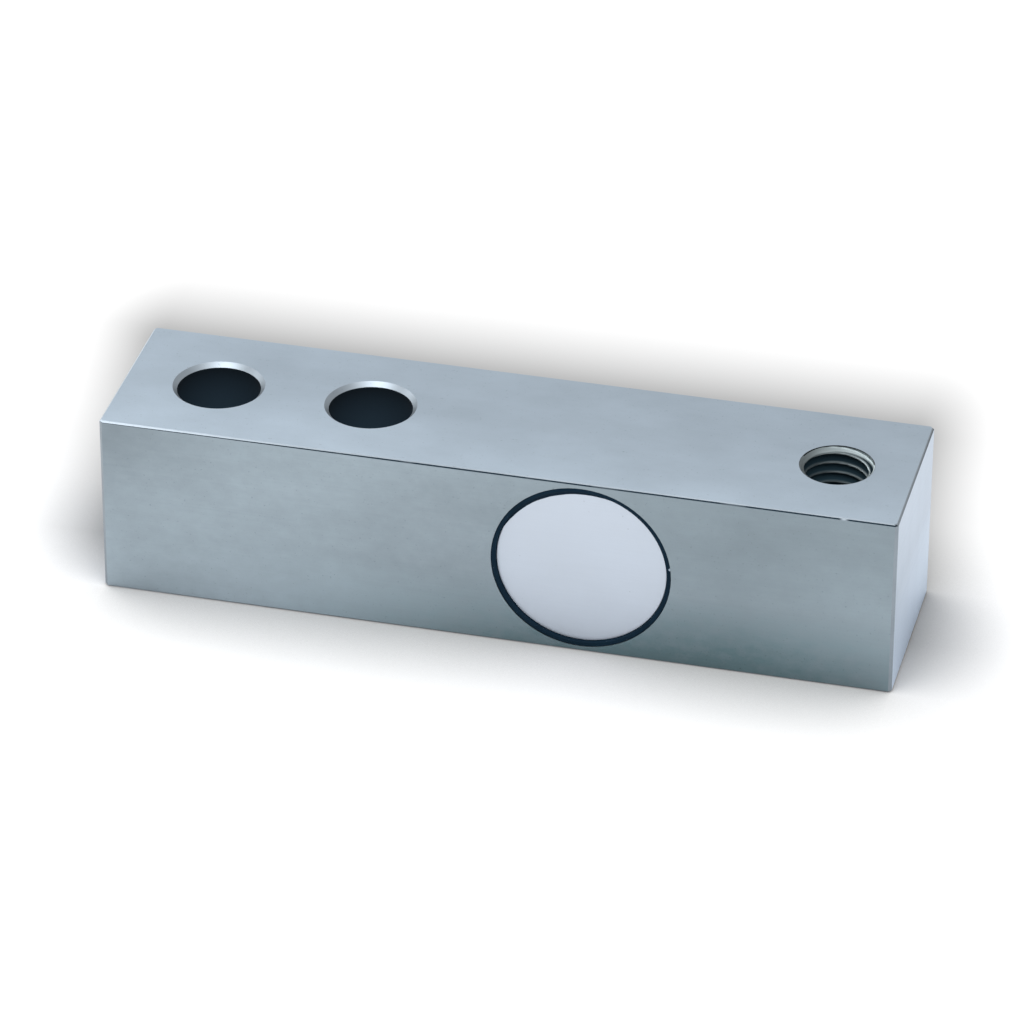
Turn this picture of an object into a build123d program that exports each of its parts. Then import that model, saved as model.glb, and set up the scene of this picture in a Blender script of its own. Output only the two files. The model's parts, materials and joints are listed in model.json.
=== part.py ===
from build123d import *
import os

# Shear beam load cell: a solid steel bar that is bolted down at one end and loaded at the other.
# Two round pockets leave a thin upright web between them, and a strain gauge on each face of the
# web measures its shear. Millimetres. The origin is under the middle of the bar, X runs from the
# clamped end to the loaded end, Z is up, and the front face looks along -Y.

# Bar
beam_length = 130.0
beam_width = 31.2
beam_height = 31.2
corner_chamfer = 0.5
edge_chamfer = 0.3

# Clamped end: two plain holes for the mounting bolts
end_to_first_hole = 15.5
mounting_hole_pitch = 25.4
mounting_hole_diameter = 13.5
mounting_hole_chamfer = 0.75

# Loaded end: one tapped hole, drawn at the outer diameter of its thread
load_hole_to_end = 12.8
load_thread_diameter = 12.0

# Gauge pockets, one in each side, in line with each other
gauge_to_load_hole = 37.85
web_thickness = 5.0
pocket_corner_radius = 1.0
cover_bore_wall = 0.9
cover_bore_depth = 2.55
cover_seat_width = 4.1

# Seal ring around each cover, with a flange under it
seal_lip_width = 0.77
seal_lip_recess = 0.1
seal_flange_width = 2.6
seal_flange_thickness = 0.65
seal_edge_chamfer = 0.12

# Cover disc
cover_thickness = 1.2
cover_edge_chamfer = 0.12

# Cable inlet in the clamped end face, in front of the mounting holes, with the wire passage
inlet_port_diameter = 8.0
inlet_port_depth = 8.5
inlet_port_wall = 1.5
inlet_port_chamfer = 0.4
cable_diameter = 4.0

# Gland in the inlet: hollow screw, thrust washer and rubber bush
gland_recess = 0.4
gland_screw_length = 4.0
gland_socket_width = 5.0
gland_socket_depth = 2.0
gland_cable_clearance = 0.1
gland_washer_thickness = 0.6
gland_washer_clearance = 0.15

# Strain gauge: two foil grids at 45 degrees to the bar on one backing
backing_width = 8.8
backing_height = 6.2
backing_thickness = 0.1
foil_thickness = 0.05
grid_angle = 45.0
grid_offset = 2.0
grid_rise = 0.55
strand_count = 6
strand_length = 2.2
strand_width = 0.2
strand_pitch = 0.4
solder_tab_width = 0.8
solder_tab_length = 0.8
solder_tab_to_edge = 0.2

# Terminal strip below each gauge, with one copper tab for each lead
strip_gap = 0.5
strip_width = 8.8
strip_height = 2.2
strip_thickness = 0.4
terminal_tab_width = 0.9
terminal_tab_margin = 0.2
terminal_tab_thickness = 0.1

# Gauge leads, fine bare ribbons from the solder tabs to the terminal strip
lead_width = 0.3
lead_thickness = 0.08
lead_landing = 0.3

# Insulated bridge wires
wire_diameter = 0.4
wire_pitch = 0.55
wire_bend_cut = 0.3
wire_arch = 1.0
cross_hole_diameter = 2.4
cross_hole_rise = 6.5

# Potting over each gauge, up to the seat of the connection board
board_seat_depth = 8.2

# Connection board in the front pocket
board_gap = 0.9
board_thickness = 1.0
board_slot_height = 1.2
board_slot_margin = 0.6
pad_size = 0.9
pad_thickness = 0.1
gauge_pad_rise = 3.6
rear_pad_rise = 4.2
rear_pad_pitch = 1.5
cable_pad_inset = 2.4
cable_pad_pitch = 1.8
cable_pad_count = 4

# Resistors on the board
chip_length = 2.0
chip_width = 1.2
chip_height = 0.5
span_chip_offset = 3.4
span_chip_pitch = 2.2
balance_chip_offset = 0.8
bobbin_diameter = 2.8
bobbin_core_diameter = 2.2
bobbin_height = 1.8
bobbin_flange = 0.3
bobbin_pad_clearance = 0.365
bobbin_pitch = 4.6

# Places worked out from the sizes
first_hole_x = -beam_length / 2 + end_to_first_hole
second_hole_x = first_hole_x + mounting_hole_pitch
load_hole_x = beam_length / 2 - load_hole_to_end
gauge_x = load_hole_x - gauge_to_load_hole
mid_height = beam_height / 2
cover_bore_radius = mid_height - cover_bore_wall
cover_radius = cover_bore_radius - seal_lip_width
pocket_radius = cover_bore_radius - cover_seat_width
pocket_depth = (beam_width - web_thickness) / 2
potting_height = pocket_depth - board_seat_depth
inlet_y = -beam_width / 2 + inlet_port_wall + inlet_port_diameter / 2

# Planes on the outer faces, each looking out of the bar, and on the two faces of the web
front_face = Plane((gauge_x, -beam_width / 2, mid_height), x_dir=(1, 0, 0), z_dir=(0, -1, 0))
rear_face = Plane((gauge_x, beam_width / 2, mid_height), x_dir=(-1, 0, 0), z_dir=(0, 1, 0))
inlet_face = Plane((-beam_length / 2, inlet_y, mid_height), x_dir=(0, -1, 0), z_dir=(-1, 0, 0))
front_web = front_face.offset(-pocket_depth)
rear_web = rear_face.offset(-pocket_depth)
sides = {"front": (front_face, front_web), "rear": (rear_face, rear_web)}

# Rows across the web: solder tabs, terminal strip and the wires over them
half_reach = (strand_count - 1) * strand_pitch / 2
inner_end = Vector(-strand_length / 2, -half_reach).rotate(Axis.Z, grid_angle)
outer_end = Vector(-strand_length / 2, half_reach).rotate(Axis.Z, grid_angle)
tab_row = [
    -grid_offset + outer_end.X,
    -grid_offset + inner_end.X,
    grid_offset - inner_end.X,
    grid_offset - outer_end.X,
]
solder_tab_rise = -backing_height / 2 + solder_tab_to_edge + solder_tab_length / 2
strip_rise = -backing_height / 2 - strip_gap - strip_height / 2
terminal_tab_length = strip_height - 2 * terminal_tab_margin
terminal_top = strip_thickness + terminal_tab_thickness
foil_top = backing_thickness + foil_thickness
ramp_start = -backing_height / 2
ramp_end = ramp_start - strip_gap
lead_start = solder_tab_rise - solder_tab_length / 2 + lead_landing
lead_end = strip_rise + terminal_tab_length / 2 - lead_landing
wire_landing_rise = strip_rise - terminal_tab_length / 4
middle_wire = (len(tab_row) - 1) / 2
cross_row = [(i - middle_wire) * wire_pitch for i in range(len(tab_row))]
rear_pad_row = [(i - middle_wire) * rear_pad_pitch for i in range(len(tab_row))]
board_radius = pocket_radius - board_gap
board_top = potting_height + board_thickness
wire_top = board_top + wire_arch

os.makedirs("parts", exist_ok=True)


def placed(plane, across, rise, out):
    """A point given in a plane's own directions."""
    return plane.from_local_coords(Vector(across, rise, out))


def bent(corners):
    """The corners of a wire's route, each cut off so that the wire bends in two short turns."""
    route = [corners[0]]
    for before, corner, after in zip(corners, corners[1:], corners[2:]):
        route.append(corner + (before - corner).normalized() * wire_bend_cut)
        route.append(corner + (after - corner).normalized() * wire_bend_cut)
    return route + [corners[-1]]


# The bar, with its pockets, holes and wire ways
with BuildPart() as beam_body:
    Box(beam_length, beam_width, beam_height, align=(Align.CENTER, Align.CENTER, Align.MIN))
    chamfer(beam_body.edges().filter_by(Axis.Z), corner_chamfer)
    chamfer(beam_body.faces().filter_by(Axis.Z).edges(), edge_chamfer)
    with Locations(front_face, rear_face):
        CounterBoreHole(pocket_radius, cover_bore_radius, cover_bore_depth, pocket_depth)
    pocket_circles = beam_body.edges().filter_by(GeomType.CIRCLE)
    fillet(pocket_circles.sort_by(lambda e: abs(e.arc_center.Y))[:2], pocket_corner_radius)
    with BuildSketch(front_web):
        with Locations((0, cross_hole_rise)):
            Circle(cross_hole_diameter / 2)
    extrude(amount=-web_thickness, mode=Mode.SUBTRACT)
    with Locations((first_hole_x, 0, beam_height), (second_hole_x, 0, beam_height)):
        Hole(mounting_hole_diameter / 2)
    top_and_bottom = beam_body.faces().filter_by(Axis.Z)
    chamfer(top_and_bottom.edges().filter_by(GeomType.CIRCLE), mounting_hole_chamfer)
    with Locations((load_hole_x, 0, beam_height)):
        Hole(load_thread_diameter / 2)
    with Locations(inlet_face):
        CounterBoreHole(
            cable_diameter / 2,
            inlet_port_diameter / 2,
            inlet_port_depth,
            gauge_x + beam_length / 2,
        )
    port_rim = beam_body.faces().sort_by(Axis.X)[0].edges().filter_by(GeomType.CIRCLE)
    chamfer(port_rim, inlet_port_chamfer)
beam_body.part.label = "beam_body"
export_step(beam_body.part, "parts/beam_body.step")

# Gland: hollow screw with a hexagon socket
with BuildPart() as gland_screw:
    screw_face = inlet_face.offset(-gland_recess)
    with BuildSketch(screw_face):
        Circle(inlet_port_diameter / 2)
    extrude(amount=-gland_screw_length)
    chamfer(gland_screw.edges(), inlet_port_chamfer)
    with BuildSketch(screw_face):
        RegularPolygon(gland_socket_width / 2, 6, major_radius=False)
    extrude(amount=-gland_socket_depth, mode=Mode.SUBTRACT)
    with Locations(screw_face):
        Hole(cable_diameter / 2 + gland_cable_clearance)
gland_screw.part.label = "gland_screw"
export_step(gland_screw.part, "parts/gland_screw.step")

# Gland: thrust washer under the screw
with BuildPart() as gland_washer:
    with BuildSketch(screw_face.offset(-gland_screw_length)):
        Circle(inlet_port_diameter / 2 - gland_washer_clearance)
        Circle(cable_diameter / 2 + gland_cable_clearance, mode=Mode.SUBTRACT)
    extrude(amount=-gland_washer_thickness)
gland_washer.part.label = "gland_washer"
export_step(gland_washer.part, "parts/gland_washer.step")

# Gland: rubber bush that the screw squeezes onto the cable
bush_face = screw_face.offset(-gland_screw_length - gland_washer_thickness)
bush_length = inlet_port_depth - gland_recess - gland_screw_length - gland_washer_thickness
with BuildPart() as seal_bush:
    with BuildSketch(bush_face):
        Circle(inlet_port_diameter / 2)
        Circle(cable_diameter / 2, mode=Mode.SUBTRACT)
    extrude(amount=-bush_length)
seal_bush.part.label = "seal_bush"
export_step(seal_bush.part, "parts/seal_bush.step")

# One cover, seal ring, strain gauge and terminal strip for each side
bonded = {}
for side, (face, web) in sides.items():
    seat = face.offset(-cover_bore_depth)
    cover_seat = seat.offset(seal_flange_thickness)

    # Rubber ring: a flange on the shoulder and a lip that fills the gap around the cover
    with BuildPart() as seal_ring:
        with BuildSketch(seat):
            Circle(cover_bore_radius)
            Circle(cover_bore_radius - seal_flange_width, mode=Mode.SUBTRACT)
        extrude(amount=seal_flange_thickness)
        with BuildSketch(cover_seat):
            Circle(cover_bore_radius)
            Circle(cover_radius, mode=Mode.SUBTRACT)
        extrude(amount=cover_bore_depth - seal_flange_thickness - seal_lip_recess)
        lip_top = seal_ring.faces().sort_by(lambda f: face.to_local_coords(f.center()).Z)[-1]
        chamfer(lip_top.edges(), seal_edge_chamfer)
    seal_ring.part.label = f"{side}_seal_ring"
    export_step(seal_ring.part, f"parts/{side}_seal_ring.step")

    # Cover disc, pressed into the ring
    with BuildPart() as cover_disc:
        with BuildSketch(cover_seat):
            Circle(cover_radius)
        extrude(amount=cover_thickness)
        chamfer(cover_disc.edges(), cover_edge_chamfer)
    cover_disc.part.label = f"{side}_cover_disc"
    export_step(cover_disc.part, f"parts/{side}_cover_disc.step")

    # Backing film of the strain gauge, bonded to the middle of the web
    with BuildPart() as gauge_backing:
        with BuildSketch(web):
            Rectangle(backing_width, backing_height)
        extrude(amount=backing_thickness)
    gauge_backing.part.label = f"{side}_gauge_backing"
    export_step(gauge_backing.part, f"parts/{side}_gauge_backing.step")

    # Foil: each grid is one strand folded back and forth, with a trace down to a tab at each end
    with BuildPart() as gauge_foil:
        with BuildSketch(web.offset(backing_thickness)):
            with Locations(Location((-grid_offset, grid_rise), grid_angle)):
                with GridLocations(strand_length, strand_pitch, 1, strand_count):
                    Rectangle(strand_length, strand_width)
                for i in range(strand_count - 1):
                    loop_end = strand_length / 2 * (1 if i % 2 == 0 else -1)
                    loop_side = (i + 0.5) * strand_pitch - half_reach
                    with Locations((loop_end, loop_side)):
                        Rectangle(strand_width, strand_pitch + strand_width)
            for end in (outer_end, inner_end):
                trace_top = end.Y + grid_rise
                with Locations((end.X - grid_offset, (trace_top + solder_tab_rise) / 2)):
                    Rectangle(strand_width, trace_top - solder_tab_rise)
                with Locations((end.X - grid_offset, solder_tab_rise)):
                    Rectangle(solder_tab_width, solder_tab_length)
            mirror(about=Plane.YZ)
        extrude(amount=foil_thickness)
    gauge_foil.part.label = f"{side}_gauge_foil"
    export_step(gauge_foil.part, f"parts/{side}_gauge_foil.step")

    # Terminal strip, bonded to the web below the gauge
    with BuildPart() as terminal_strip:
        with BuildSketch(web):
            with Locations((0, strip_rise)):
                Rectangle(strip_width, strip_height)
        extrude(amount=strip_thickness)
    terminal_strip.part.label = f"{side}_terminal_strip"
    export_step(terminal_strip.part, f"parts/{side}_terminal_strip.step")

    # Copper tabs of the terminal strip
    with BuildPart() as terminal_tabs:
        with BuildSketch(web.offset(strip_thickness)):
            with Locations([(across, strip_rise) for across in tab_row]):
                Rectangle(terminal_tab_width, terminal_tab_length)
        extrude(amount=terminal_tab_thickness)
    terminal_tabs.part.label = f"{side}_terminal_tabs"
    export_step(terminal_tabs.part, f"parts/{side}_terminal_tabs.step")

    # Leads, flat ribbons that step up from each solder tab onto its terminal tab
    with BuildPart() as gauge_leads:
        for across in tab_row:
            with BuildSketch(Plane(placed(web, across, 0, 0), x_dir=(0, 0, 1), z_dir=web.x_dir)):
                with BuildLine():
                    Polyline(
                        (lead_start, foil_top),
                        (ramp_start, foil_top),
                        (ramp_end, terminal_top),
                        (lead_end, terminal_top),
                        (lead_end, terminal_top + lead_thickness),
                        (ramp_end, terminal_top + lead_thickness),
                        (ramp_start, foil_top + lead_thickness),
                        (lead_start, foil_top + lead_thickness),
                        close=True,
                    )
                make_face()
            extrude(amount=lead_width / 2, both=True)
    gauge_leads.part.label = f"{side}_gauge_leads"
    export_step(gauge_leads.part, f"parts/{side}_gauge_leads.step")

    bonded[side] = [
        gauge_backing.part,
        gauge_foil.part,
        terminal_strip.part,
        terminal_tabs.part,
        gauge_leads.part,
    ]

# Wires from the front terminals, up through the lower slot of the board to its lower pads
with BuildPart() as front_bridge_wires:
    for across in tab_row:
        with BuildLine() as route:
            Polyline(
                bent(
                    [
                        placed(front_web, across, wire_landing_rise, terminal_top),
                        placed(front_web, across, wire_landing_rise, wire_top),
                        placed(front_web, across, -gauge_pad_rise, wire_top),
                        placed(front_web, across, -gauge_pad_rise, board_top + pad_thickness),
                    ]
                )
            )
        with BuildSketch(Plane(route.line @ 0, z_dir=route.line % 0)):
            Circle(wire_diameter / 2)
        sweep(transition=Transition.RIGHT)
front_bridge_wires.part.label = "front_bridge_wires"
export_step(front_bridge_wires.part, "parts/front_bridge_wires.step")

# Wires from the rear terminals, over the rear gauge, through the web and up to the upper pads
with BuildPart() as rear_bridge_wires:
    for start, across, pad in zip(tab_row, cross_row, rear_pad_row):
        with BuildLine() as route:
            Polyline(
                bent(
                    [
                        placed(rear_web, start, wire_landing_rise, terminal_top),
                        placed(rear_web, start, wire_landing_rise, potting_height / 2),
                        placed(rear_web, across, cross_hole_rise, potting_height / 2),
                        placed(front_web, -across, cross_hole_rise, wire_top),
                        placed(front_web, -pad, rear_pad_rise, wire_top),
                        placed(front_web, -pad, rear_pad_rise, board_top + pad_thickness),
                    ]
                )
            )
        with BuildSketch(Plane(route.line @ 0, z_dir=route.line % 0)):
            Circle(wire_diameter / 2)
        sweep(transition=Transition.RIGHT)
rear_bridge_wires.part.label = "rear_bridge_wires"
export_step(rear_bridge_wires.part, "parts/rear_bridge_wires.step")

# Soft potting that covers each gauge, its terminals and the wires beside them
for side, (face, web) in sides.items():
    with BuildPart() as potting:
        with BuildSketch(web):
            Circle(pocket_radius)
        extrude(amount=potting_height)
        rims = potting.edges().filter_by(GeomType.CIRCLE)
        fillet(rims.sort_by(lambda e: abs(e.arc_center.Y))[0], pocket_corner_radius)
        add(bonded[side], mode=Mode.SUBTRACT)
        add(rear_bridge_wires.part, mode=Mode.SUBTRACT)
        if side == "front":
            add(front_bridge_wires.part, mode=Mode.SUBTRACT)
    potting.part.label = f"{side}_potting"
    export_step(potting.part, f"parts/{side}_potting.step")

# Connection board, a round card on the front potting with a slot for each row of wires
board_plane = front_web.offset(potting_height)
gauge_slot_width = tab_row[-1] - tab_row[0] + 2 * board_slot_margin
rear_slot_width = cross_row[-1] - cross_row[0] + 2 * board_slot_margin
with BuildPart() as connection_board:
    with BuildSketch(board_plane):
        Circle(board_radius)
        with Locations((0, wire_landing_rise)):
            SlotOverall(gauge_slot_width, board_slot_height, mode=Mode.SUBTRACT)
        with Locations((0, cross_hole_rise)):
            SlotOverall(rear_slot_width, board_slot_height, mode=Mode.SUBTRACT)
    extrude(amount=board_thickness)
connection_board.part.label = "connection_board"
export_step(connection_board.part, "parts/connection_board.step")

# Copper pads on the board: gauge wires below, rear wires above, cable at the side
board_face = board_plane.offset(board_thickness)
with BuildPart() as board_pads:
    with BuildSketch(board_face):
        with Locations([(across, -gauge_pad_rise) for across in tab_row]):
            Rectangle(pad_size, pad_size)
        with Locations([(across, rear_pad_rise) for across in rear_pad_row]):
            Rectangle(pad_size, pad_size)
        with Locations((cable_pad_inset - board_radius, 0)):
            with GridLocations(pad_size, cable_pad_pitch, 1, cable_pad_count):
                Rectangle(pad_size, pad_size)
    extrude(amount=pad_thickness)
board_pads.part.label = "board_pads"
export_step(board_pads.part, "parts/board_pads.step")

# Chip resistors that set the span, one in each supply line
with BuildPart() as span_resistors:
    with BuildSketch(board_face):
        with Locations((-span_chip_offset, 0)):
            with GridLocations(chip_length, span_chip_pitch, 1, 2):
                Rectangle(chip_length, chip_width)
    extrude(amount=chip_height)
span_resistors.part.label = "span_resistors"
export_step(span_resistors.part, "parts/span_resistors.step")

# Chip resistor that balances the bridge at no load
with BuildPart() as zero_balance_resistor:
    with BuildSketch(board_face):
        with Locations((balance_chip_offset, 0)):
            Rectangle(chip_length, chip_width)
    extrude(amount=chip_height)
zero_balance_resistor.part.label = "zero_balance_resistor"
export_step(zero_balance_resistor.part, "parts/zero_balance_resistor.step")

# Wound bobbins that hold the span steady as the bar warms up, set just outside the gauge pads
bobbin_x = tab_row[-1] + pad_size / 2 + bobbin_pad_clearance + bobbin_diameter / 2
with BuildPart() as temperature_resistors:
    with BuildSketch(board_face):
        with Locations((bobbin_x, 0)):
            with GridLocations(bobbin_diameter, bobbin_pitch, 1, 2):
                Circle(bobbin_core_diameter / 2)
    extrude(amount=bobbin_height)
    with BuildSketch(board_face, board_face.offset(bobbin_height - bobbin_flange)):
        with Locations((bobbin_x, 0)):
            with GridLocations(bobbin_diameter, bobbin_pitch, 1, 2):
                Circle(bobbin_diameter / 2)
    extrude(amount=bobbin_flange)
temperature_resistors.part.label = "temperature_resistors"
export_step(temperature_resistors.part, "parts/temperature_resistors.step")
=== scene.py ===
import json
import math

import bmesh
import bpy
from bpy.props import FloatProperty, FloatVectorProperty, IntProperty, PointerProperty
from bpy.types import Operator, Panel, PropertyGroup
from mathutils import Euler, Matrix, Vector


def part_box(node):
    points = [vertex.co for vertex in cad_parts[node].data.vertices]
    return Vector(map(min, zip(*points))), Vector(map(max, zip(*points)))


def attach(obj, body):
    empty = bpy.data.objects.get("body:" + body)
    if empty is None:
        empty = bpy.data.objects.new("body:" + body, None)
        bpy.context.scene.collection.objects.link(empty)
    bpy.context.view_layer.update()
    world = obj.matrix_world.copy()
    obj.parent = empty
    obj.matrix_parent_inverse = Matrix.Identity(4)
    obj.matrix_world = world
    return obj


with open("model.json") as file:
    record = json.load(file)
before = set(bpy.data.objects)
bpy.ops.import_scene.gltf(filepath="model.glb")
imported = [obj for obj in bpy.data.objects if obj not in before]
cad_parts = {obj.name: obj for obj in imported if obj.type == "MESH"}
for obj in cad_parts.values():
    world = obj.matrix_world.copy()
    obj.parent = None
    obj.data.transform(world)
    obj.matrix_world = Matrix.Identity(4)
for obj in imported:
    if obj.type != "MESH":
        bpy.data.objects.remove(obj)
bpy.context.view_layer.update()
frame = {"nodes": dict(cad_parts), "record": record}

bl_info = {
    "name": "Shear Beam Load Cell",
    "version": (1, 0, 0),
    "blender": (4, 5, 0),
    "location": "View3D > Sidebar > Load Cell",
    "description": "Finishes the bar, covers, seals, load thread and gauge parts of a shear beam load cell",
    "category": "Object",
}

MM = 0.001

# Most of a noise texture lies between these two values
NOISE_LOW = 0.3
NOISE_HIGH = 0.7

# The ridge of the thread with both flanks takes up this share of the pitch, and the root the rest
RIDGE_SHARE = 0.78
# Edges of the thread steeper than this stay sharp
SHARP_ANGLE = math.radians(38)

# The lamps point at the middle of the bar, and the floor lies just clear of its underside
LAMP_AIM = (0, 0, 0.015)
FLOOR_GAP = 0.02 * MM
SENSOR_WIDTH = 36.0
CLIP_START = 0.01

mounts = {mount["name"]: mount for mount in frame["record"]["mounts"]}
load_hole = mounts["load_hole"]
mounting_holes = [mounts["mounting_hole_1"], mounts["mounting_hole_2"]]
bar_low, bar_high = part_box("beam_body")
cover_low, cover_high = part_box("front_cover_disc")


def colour_field(name, description, default):
    """A colour that the panel shows as a swatch."""
    return FloatVectorProperty(
        name=name,
        description=description,
        default=default,
        subtype="COLOR",
        size=3,
        min=0.0,
        max=1.0,
    )


def share_field(name, description, default):
    """A share from 0 to 1."""
    return FloatProperty(
        name=name, description=description, default=default, subtype="FACTOR", min=0.0, max=1.0
    )


def length_field(name, description, default, low=0.0):
    """A length in metres."""
    return FloatProperty(
        name=name,
        description=description,
        default=default,
        min=low,
        subtype="DISTANCE",
        unit="LENGTH",
        precision=5,
    )


def power_field(name, description, default):
    """The power of a lamp in watts."""
    return FloatProperty(name=name, description=description, default=default, min=0.0, unit="POWER")


class BarFinish(PropertyGroup):
    # The sides, top and ends share one nickel plating; their colours differ partly by finish and partly by
    # painted light, the ends painted lighter and the sides darker.
    side_colour: colour_field(
        "Ground Sides", "Nickel on the ground sides of the bar", (0.302, 0.361, 0.404)
    )
    # The film colour is painted shade: the floor's dark reflection low on the sides, towards the loaded end.
    film_colour: colour_field(
        "Oil Film", "Thin oil film low on the sides, towards the loaded end", (0.156, 0.234, 0.26)
    )
    top_colour: colour_field(
        "Top and Bottom", "Nickel on the finer top and bottom faces", (0.361, 0.432, 0.503)
    )
    lit_end_colour: colour_field("Ends", "Nickel on the milled end faces", (0.45, 0.522, 0.614))
    # The chamfers' colour is partly brighter cut metal and partly painted highlight.
    edge_metal_and_highlight_colour: colour_field("Edges", "Bright metal on the chamfers", (0.56, 0.645, 0.725))
    # The edge line is painted shade under the top edges.
    edge_shade_colour: colour_field(
        "Edge Line", "Dark burnished line under the top edges", (0.01, 0.018, 0.026)
    )
    # The bore colour is painted shade inside the plain holes.
    bore_shade_colour: colour_field("Bores", "Dark oxide inside the plain holes", (0.019, 0.0345, 0.051))
    line_size: length_field("Grinding Line", "Width of one grinding line", 0.00022, 0.00001)
    side_roughness: share_field("Side Roughness", "How matt the ground sides are", 0.42)
    top_roughness: share_field("Top Roughness", "How matt the top is", 0.4)


class ThreadSizes(PropertyGroup):
    pitch: length_field("Pitch", "Rise of the thread in one turn", 0.00175, 0.0002)
    depth: length_field("Thread Depth", "From the root to the crest", 0.00092, 0.0001)
    crest_width: length_field("Crest", "Flat on each crest", 0.00018, 0.00001)
    countersink: length_field("Countersink", "Depth of the cone at each end", 0.00085, 0.0)
    root_gap: length_field("Root Gap", "Space kept between the root and the bar", 0.00002, 0.0)
    around: IntProperty(name="Around", description="Points in one turn", default=128, min=16)
    rows: IntProperty(name="Rows", description="Rows of points in one pitch", default=18, min=6)
    crest_colour: colour_field("Crests", "Cut steel on the crests", (0.4, 0.465, 0.485))
    # The root colour is painted shade in the thread roots.
    root_shade_colour: colour_field("Roots", "Oil and oxide in the roots", (0.012, 0.025, 0.034))


class CoverFinish(PropertyGroup):
    disc_colour: colour_field("Disc", "Satin foil on the cover discs", (0.532, 0.586, 0.662))
    disc_roughness: share_field("Disc Roughness", "How matt the discs are", 0.5)
    # The rubber colour also paints the shadow over the rim of the front disc.
    rubber_and_shadow_colour: colour_field("Rubber", "The seal rings", (0.005, 0.0162, 0.0295))
    dust_colour: colour_field("Dust", "Specks on the rubber", (0.35, 0.42, 0.5))


class GaugeFinish(PropertyGroup):
    film_colour: colour_field("Film", "Amber film under the gauges", (0.55, 0.24, 0.05))
    alloy_colour: colour_field("Gauge Alloy", "Etched foil of the gauges", (0.6, 0.56, 0.5))
    copper_colour: colour_field("Copper", "Terminal tabs, leads and pads", (0.86, 0.5, 0.3))
    gel_colour: colour_field("Gel", "Soft potting over the gauges", (0.82, 0.84, 0.8))


class BoardFinish(PropertyGroup):
    laminate_colour: colour_field("Laminate", "The connection board", (0.02, 0.16, 0.07))
    chip_colour: colour_field("Chip Body", "Chip resistors", (0.03, 0.03, 0.035))
    cap_colour: colour_field("Chip Caps", "Tinned ends of the chip resistors", (0.62, 0.63, 0.62))
    winding_colour: colour_field("Winding", "Wire on the bobbins", (0.55, 0.3, 0.13))
    supply_plus: colour_field("First Wire", "First bridge wire of each side", (0.55, 0.02, 0.02))
    supply_minus: colour_field("Last Wire", "Last bridge wire of each side", (0.02, 0.02, 0.022))
    signal_plus: colour_field("Second Wire", "Second bridge wire", (0.03, 0.28, 0.06))
    signal_minus: colour_field("Third Wire", "Third bridge wire", (0.75, 0.75, 0.72))


class GlandFinish(PropertyGroup):
    metal_colour: colour_field("Gland Metal", "Nickel on the gland screw", (0.55, 0.56, 0.55))
    bush_colour: colour_field("Bush", "Rubber bush in the gland", (0.015, 0.016, 0.018))


class StageSettings(PropertyGroup):
    camera_place: FloatVectorProperty(
        name="Camera Place",
        description="Where the camera stands",
        default=(0.195484, -0.799422, 0.522245),
        subtype="TRANSLATION",
        unit="LENGTH",
        precision=5,
    )
    camera_turn: FloatVectorProperty(
        name="Camera Turn",
        description="How the camera is turned",
        default=(math.radians(58.3302), math.radians(-0.1766), math.radians(13.8962)),
        subtype="EULER",
        unit="ROTATION",
    )
    lens: FloatProperty(name="Lens", description="Focal length", default=210.773, min=1.0, unit="CAMERA")
    floor_size: length_field("Floor", "Length of the square floor", 6.0, 0.1)
    floor_colour: colour_field("Floor Colour", "Pale paper under the object", (0.95, 0.95, 0.95))
    # The contact shadow and the back shadow are painted into the paper's colour.
    contact_reach: length_field("Contact Shadow", "How far the soft contact shadow reaches", 0.022, 0.001)
    contact_tone: share_field("Contact Tone", "How dark the paper gets where the bar meets it", 0.5)
    floor_glow: share_field("Floor Glow", "White added to the floor where the camera sees it", 0.12)
    painted_back_shadow: share_field("Back Shadow", "How much the soft shadow behind the bar takes away", 0.57)
    sky_level: share_field("Room Light", "Light that comes from all round", 0.75)
    front_power: power_field("Front Lamp", "Wide lamp in front on the right", 8.0)
    side_power: power_field("Side Lamp", "Wide lamp on the left, a little behind", 8.0)
    top_power: power_field("Top Lamp", "Wide lamp over the front", 4.0)


SETTINGS = {
    "load_cell_bar": BarFinish,
    "load_cell_thread": ThreadSizes,
    "load_cell_covers": CoverFinish,
    "load_cell_gauges": GaugeFinish,
    "load_cell_board": BoardFinish,
    "load_cell_gland": GlandFinish,
    "load_cell_stage": StageSettings,
}


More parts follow.
